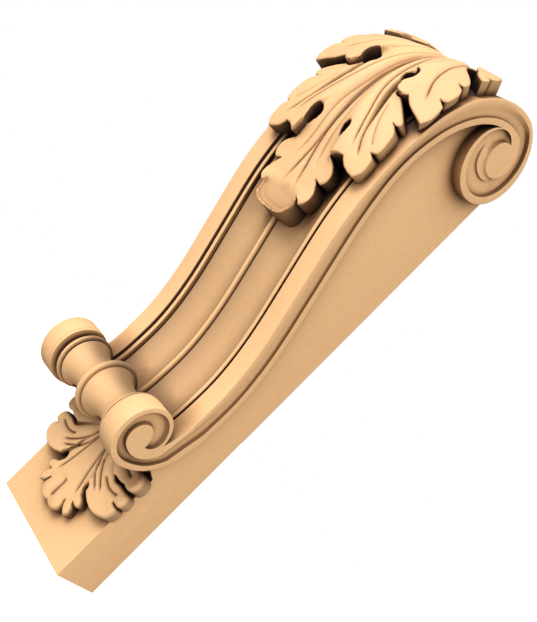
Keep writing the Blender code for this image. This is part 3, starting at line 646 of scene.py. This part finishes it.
def make_large_leaf(spacing=0.0075):
    half = margin(LARGE_MARGIN, spacing)
    outline = half + [(-x, s) for x, s in half[-2:0:-1]]
    both = [[(sign * x, s) for x, s in crease] for crease in LARGE_CREASES for sign in (1, -1)]
    leaf = leaf_blank("large_leaf", outline, both, spacing)
    deepen(leaf, 4)
    flat = corners(leaf)
    x, s, level = flat[:, 0], flat[:, 1], -flat[:, 2]
    rim = outline + [outline[0]]
    d = distance(x, s, rim)
    depths = [depth for depth in LARGE_CREASE_DEPTHS for _ in (1, -1)]
    h = large_height(x, s) + creased(x, s, both, depths, 0.007)
    # the valley below the second eye is the widest
    valley, along = distance(np.abs(x), s, LARGE_CREASES[3], signed=True)
    h = h - 0.024 * np.exp(-(valley / 0.020) ** 2) * ease((along - 0.25) / 0.4)
    # the tip is hollowed like a spoon, inside a rolled edge
    spoon = ease((1.76 - s) / 0.09) * ease((0.20 - np.abs(x)) / 0.03)
    h += spoon * (0.044 * np.exp(-(d / 0.015) ** 2) - 0.012) + 0.020 * ease((1.80 - s) / 0.12) * ease(np.abs(x) / 0.17)
    h = round_edge(h, d, 0.010)
    out = np.abs(x)
    # the walls run down from the edge to below the flutes; those of the tip spread and those of the lobes draw in
    share = np.interp(level, [0, 1, 2, 3, 4], [0, 0.1, 0.35, 0.7, 1])
    bottom = np.interp(np.abs(x), [0.47, 0.52], [-0.10, -0.012])
    h = h + (bottom - h) * share
    s = s - 0.060 * share * ease((1.72 - s) / 0.12)
    x = np.sign(x) * (np.abs(x) - 0.6 * share * np.clip(np.abs(x) - 0.5, 0, None))
    # the carver's left half sits a little higher and fuller than the right one
    left = ease(-x / 0.55)
    fourth = ease((out - 0.05 - np.interp(s, [2.90, 3.00, 3.27], [0.55, 0.45, 0.20])) / 0.01)
    h = h + left * (1 - share) * (0.025 * ease((s - 2.3) / 0.5) + 0.016 * fourth * ease((s - 2.93) / 0.05))
    x = x * (1 + 0.02 * left * ease((s - 2.1) / 0.5))
    s = s + 0.085 * left * ease((s - 1.8) / 0.8)
    place_points(leaf, on_front(x, s, h))
    # painted shade: the walls are darkened, less so on the outer right, and so are the whole face slightly, the spoon's
    # hollow inside its rolled edge and the outer parts of the upper lobes
    walls = 1 - 0.50 * ease(share / 0.1) * (1 - 0.8 * ease((x - 0.40) / 0.08))
    face = 0.95 - 0.15 * spoon * (1 - np.exp(-(d / 0.022) ** 2)) - 0.07 * ease((out - 0.22) / 0.2) * ease((s - 2.4) / 0.3)
    painted_shade(leaf, walls * face)
    return leaf


SMALL_CREASES = [
    [(0.0, 0.262), (0.0, 0.350), (0.0, 0.430)],
    [(0.155, 0.390), (0.110, 0.540), (0.060, 0.780), (0.025, 0.980)],
    [(0.290, 0.535), (0.190, 0.595), (0.110, 0.680), (0.045, 0.920)],
    [(0.330, 0.560), (0.235, 0.620), (0.140, 0.720), (0.060, 0.940)],
    [(0.463, 0.650), (0.340, 0.632), (0.250, 0.665)],
    [(0.460, 0.800), (0.330, 0.820), (0.180, 0.900)],
]
SMALL_LAPS = [
    [(0.600, 0.400), (0.400, 0.425), (0.280, 0.452), (0.214, 0.470), (0.192, 0.510), (0.190, 0.538), (0.120, 0.750),
     (0.030, 0.980)],
    [(0.600, 0.724), (0.440, 0.721), (0.385, 0.714), (0.322, 0.707), (0.150, 0.830), (0.040, 0.980)],
]


def make_small_leaf(spacing=0.0072):
    half = margin(SMALL_MARGIN, spacing)
    outline = half + [(-x, s) for x, s in half[-2:0:-1]]
    both = [SMALL_CREASES[0]] + [[(sign * x, s) for x, s in c] for c in SMALL_CREASES[1:] for sign in (1, -1)]
    leaf = leaf_blank("small_leaf", outline, both, spacing)
    deepen(leaf, 3)
    flat = corners(leaf)
    x, z, level = flat[:, 0], flat[:, 1], -flat[:, 2]
    d = distance(x, z, outline + [outline[0]])
    h = np.interp(z, [0.22, 0.35, 0.6, 1.0], [0.078, 0.084, 0.098, 0.115])
    for line, raise_by, drop_by in zip(SMALL_LAPS, (0.018, 0.018), (0.022, 0.024)):
        e, share = distance(np.abs(x), z, line, signed=True)
        strength = np.clip((0.8 - share) / 0.4, 0, 1)
        h = h + strength * np.where(e >= 0, raise_by * np.exp(-np.abs(e) / 0.08), -drop_by * np.exp(-np.abs(e) / 0.06))
    h = h + 0.016 * np.exp(-((np.abs(x) - 0.068) / 0.055) ** 2 - ((z - 0.285) / 0.070) ** 2)
    h = h + creased(x, z, both, [0.015] * len(both), 0.008)
    h = round_edge(h, d, 0.026)
    h = np.where(level > 0.5, np.interp(level, [1, 2, 3], [0.6, 0.2, 0]) * h - 0.01 * (level > 2.5), h)
    place_points(leaf, in_metres(x, BOARD_FRONT + h, z))
    # painted shade: the walls are painted darker than the face, which is itself slightly darkened
    painted_shade(leaf, np.where(level > 0.5, 0.5, 0.93))
    return leaf


# ---- finish


def pale_wood():
    """Sanded pale wood, unvarnished: faint grain along the board, with painted shade making it darker where the chisel
    cut deep and wherever each corner's painted shade value is below one.
    """
    material = bpy.data.materials.new("pale_carved_wood")
    material.use_nodes = True
    nodes, links = material.node_tree.nodes, material.node_tree.links
    shader = nodes["Principled BSDF"]
    shader.inputs["Specular IOR Level"].default_value = 0.25
    where = nodes.new("ShaderNodeTexCoord")
    stretch = nodes.new("ShaderNodeMapping")
    stretch.inputs["Scale"].default_value = (90, 90, 30)
    grain = nodes.new("ShaderNodeTexNoise")
    grain.inputs["Scale"].default_value = 6.0
    grain.inputs["Detail"].default_value = 5.0
    links.new(where.outputs["Object"], stretch.inputs["Vector"])
    links.new(stretch.outputs["Vector"], grain.inputs["Vector"])
    tint = nodes.new("ShaderNodeValToRGB")
    tint.color_ramp.elements[0].position = 0.35
    tint.color_ramp.elements[0].color = (0.598, 0.356, 0.173, 1)
    tint.color_ramp.elements[1].position = 0.68
    tint.color_ramp.elements[1].color = (0.640, 0.384, 0.189, 1)
    links.new(grain.outputs["Fac"], tint.inputs["Fac"])
    dull = nodes.new("ShaderNodeMapRange")
    dull.inputs["To Min"].default_value = 0.56
    dull.inputs["To Max"].default_value = 0.68
    links.new(grain.outputs["Fac"], dull.inputs["Value"])
    links.new(dull.outputs["Result"], shader.inputs["Roughness"])
    pores = nodes.new("ShaderNodeTexNoise")
    pores.inputs["Scale"].default_value = 14.0
    pores.inputs["Detail"].default_value = 3.0
    links.new(stretch.outputs["Vector"], pores.inputs["Vector"])
    rough = nodes.new("ShaderNodeBump")
    rough.inputs["Strength"].default_value = 0.22
    rough.inputs["Distance"].default_value = 0.0004
    links.new(pores.outputs["Fac"], rough.inputs["Height"])
    links.new(rough.outputs["Normal"], shader.inputs["Normal"])
    # painted shade: ambient occlusion, through the ramp below, darkens the colour in creases, hollows and between parts
    hollow = nodes.new("ShaderNodeAmbientOcclusion")
    hollow.samples = 16
    hollow.inputs["Distance"].default_value = 0.035
    depth = nodes.new("ShaderNodeValToRGB")
    ramp = depth.color_ramp
    shades = [(0.15, (0.018, 0.010, 0.005)), (0.42, (0.12, 0.085, 0.058)), (0.62, (0.36, 0.30, 0.25)),
              (0.78, (0.66, 0.61, 0.56)), (0.90, (0.88, 0.86, 0.83)), (0.97, (1, 1, 1))]
    for place, shade in shades[1:-1]:
        ramp.elements.new(place)
    for element, (place, shade) in zip(ramp.elements, shades):
        element.position = place
        element.color = (*shade, 1)
    links.new(hollow.outputs["AO"], depth.inputs["Fac"])
    # painted shade: the grain's colour is scaled by the per-corner painted shade value and multiplied by the occlusion
    # ramp
    painted_shade_mix = nodes.new("ShaderNodeMix")
    painted_shade_mix.data_type = "RGBA"
    painted_shade_mix.blend_type = "MULTIPLY"
    painted_shade_mix.inputs["Factor"].default_value = 1.0
    painted_shade_input = nodes.new("ShaderNodeAttribute")
    painted_shade_input.attribute_name = "painted_shade"
    shaded_tint = nodes.new("ShaderNodeVectorMath")
    shaded_tint.operation = "SCALE"
    links.new(tint.outputs["Color"], shaded_tint.inputs[0])
    links.new(painted_shade_input.outputs["Fac"], shaded_tint.inputs["Scale"])
    links.new(shaded_tint.outputs["Vector"], painted_shade_mix.inputs["A"])
    links.new(depth.outputs["Color"], painted_shade_mix.inputs["B"])
    links.new(painted_shade_mix.outputs["Result"], shader.inputs["Base Color"])
    return material


def flat_paint(name, colour):
    material = bpy.data.materials.new(name)
    material.use_nodes = True
    shader = material.node_tree.nodes["Principled BSDF"]
    shader.inputs["Base Color"].default_value = (*colour, 1)
    shader.inputs["Roughness"].default_value = 0.9
    return material


# ---- put together

parts = [make_board(), make_cheek(1), make_cheek(-1), make_mouldings(), make_drum(1), make_drum(-1), make_roll(),
         make_large_leaf(), make_small_leaf()]
for part in parts:
    smooth(part)
    if "painted_shade" not in part.data.attributes:
        painted_shade(part, np.ones(len(part.data.vertices)))
deselect()
for part in parts:
    part.select_set(True)
bpy.context.view_layer.objects.active = parts[0]
bpy.ops.object.join()
corbel = bpy.context.object
corbel.name = "carved_corbel"
corbel.data.materials.clear()
corbel.data.materials.append(pale_wood())
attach(corbel, "root")
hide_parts("corbel_bracket")
print("TRIANGLES", sum(len(face.vertices) - 2 for face in corbel.data.polygons))

# ---- floor, light and camera

deselect()
bpy.ops.mesh.primitive_plane_add(size=40, location=(0, 0, -1.4))
floor = bpy.context.object
floor.name = "floor"
floor.data.materials.append(flat_paint("white_floor", (0.95, 0.95, 0.95)))
floor.data.materials[0].node_tree.nodes["Principled BSDF"].inputs["Emission Color"].default_value = (1, 1, 1, 1)
floor.data.materials[0].node_tree.nodes["Principled BSDF"].inputs["Emission Strength"].default_value = 0.7
floor.visible_diffuse = False
floor.visible_glossy = False

def camera_turn(vector):
    """World to camera rotation, from its rotation vector: rows are the picture's right, down and depth."""
    axis = Vector(vector)
    return np.array(Matrix.Rotation(axis.length, 3, axis.normalized()))


def add_light(name, place, towards, size, power):
    deselect()
    bpy.ops.object.light_add(type="AREA", location=place)
    lamp = bpy.context.object
    lamp.name = name
    lamp.data.size = size
    lamp.data.energy = power
    lamp.rotation_euler = (Vector(towards) - Vector(place)).to_track_quat("-Z", "Y").to_euler()
    return lamp


rows = camera_turn((1.0663, 1.0481, 0.0221))
deselect()
bpy.ops.object.camera_add(location=(0.55096, -0.60690, -0.03367))
camera = bpy.context.object
camera.rotation_mode = "QUATERNION"
camera.rotation_quaternion = Matrix(np.stack([rows[0], -rows[1], -rows[2]], 1).tolist()).to_quaternion()
camera.data.sensor_width = 36
camera.data.lens = 50.61
bpy.context.scene.camera = camera

up = Vector((-rows[1]).tolist())
right = Vector(rows[0].tolist())
back = Vector((-rows[2]).tolist())
add_light("key", Vector((-0.15, -0.88, 0.48)).normalized() * 2, (0, -0.07, 0), 0.8, 32)


def studio_world(brightest):
    """White behind the object; as light it is brightest from one side and dim from the other."""
    world = bpy.data.worlds.new("studio")
    bpy.context.scene.world = world
    world.use_nodes = True
    nodes, links = world.node_tree.nodes, world.node_tree.links
    backdrop = nodes["Background"]
    backdrop.inputs["Color"].default_value = (1, 1, 1, 1)
    soft = nodes.new("ShaderNodeBackground")
    soft.inputs["Color"].default_value = (1, 0.99, 0.97, 1)
    where = nodes.new("ShaderNodeTexCoord")
    facing = nodes.new("ShaderNodeVectorMath")
    facing.operation = "DOT_PRODUCT"
    facing.inputs[1].default_value = brightest
    links.new(where.outputs["Generated"], facing.inputs[0])
    level = nodes.new("ShaderNodeMapRange")
    level.inputs["From Min"].default_value = -0.25
    level.inputs["From Max"].default_value = 0.55
    level.inputs["To Min"].default_value = 0.02
    level.inputs["To Max"].default_value = 1.80
    links.new(facing.outputs["Value"], level.inputs["Value"])
    links.new(level.outputs["Result"], soft.inputs["Strength"])
    ray = nodes.new("ShaderNodeLightPath")
    choose = nodes.new("ShaderNodeMixShader")
    links.new(ray.outputs["Is Camera Ray"], choose.inputs["Fac"])
    links.new(soft.outputs["Background"], choose.inputs[1])
    links.new(backdrop.outputs["Background"], choose.inputs[2])
    links.new(choose.outputs["Shader"], nodes["World Output"].inputs["Surface"])


studio_world(Vector((0.62, -0.68, 0.42)).normalized())

bpy.context.scene.view_settings.view_transform = "Standard"
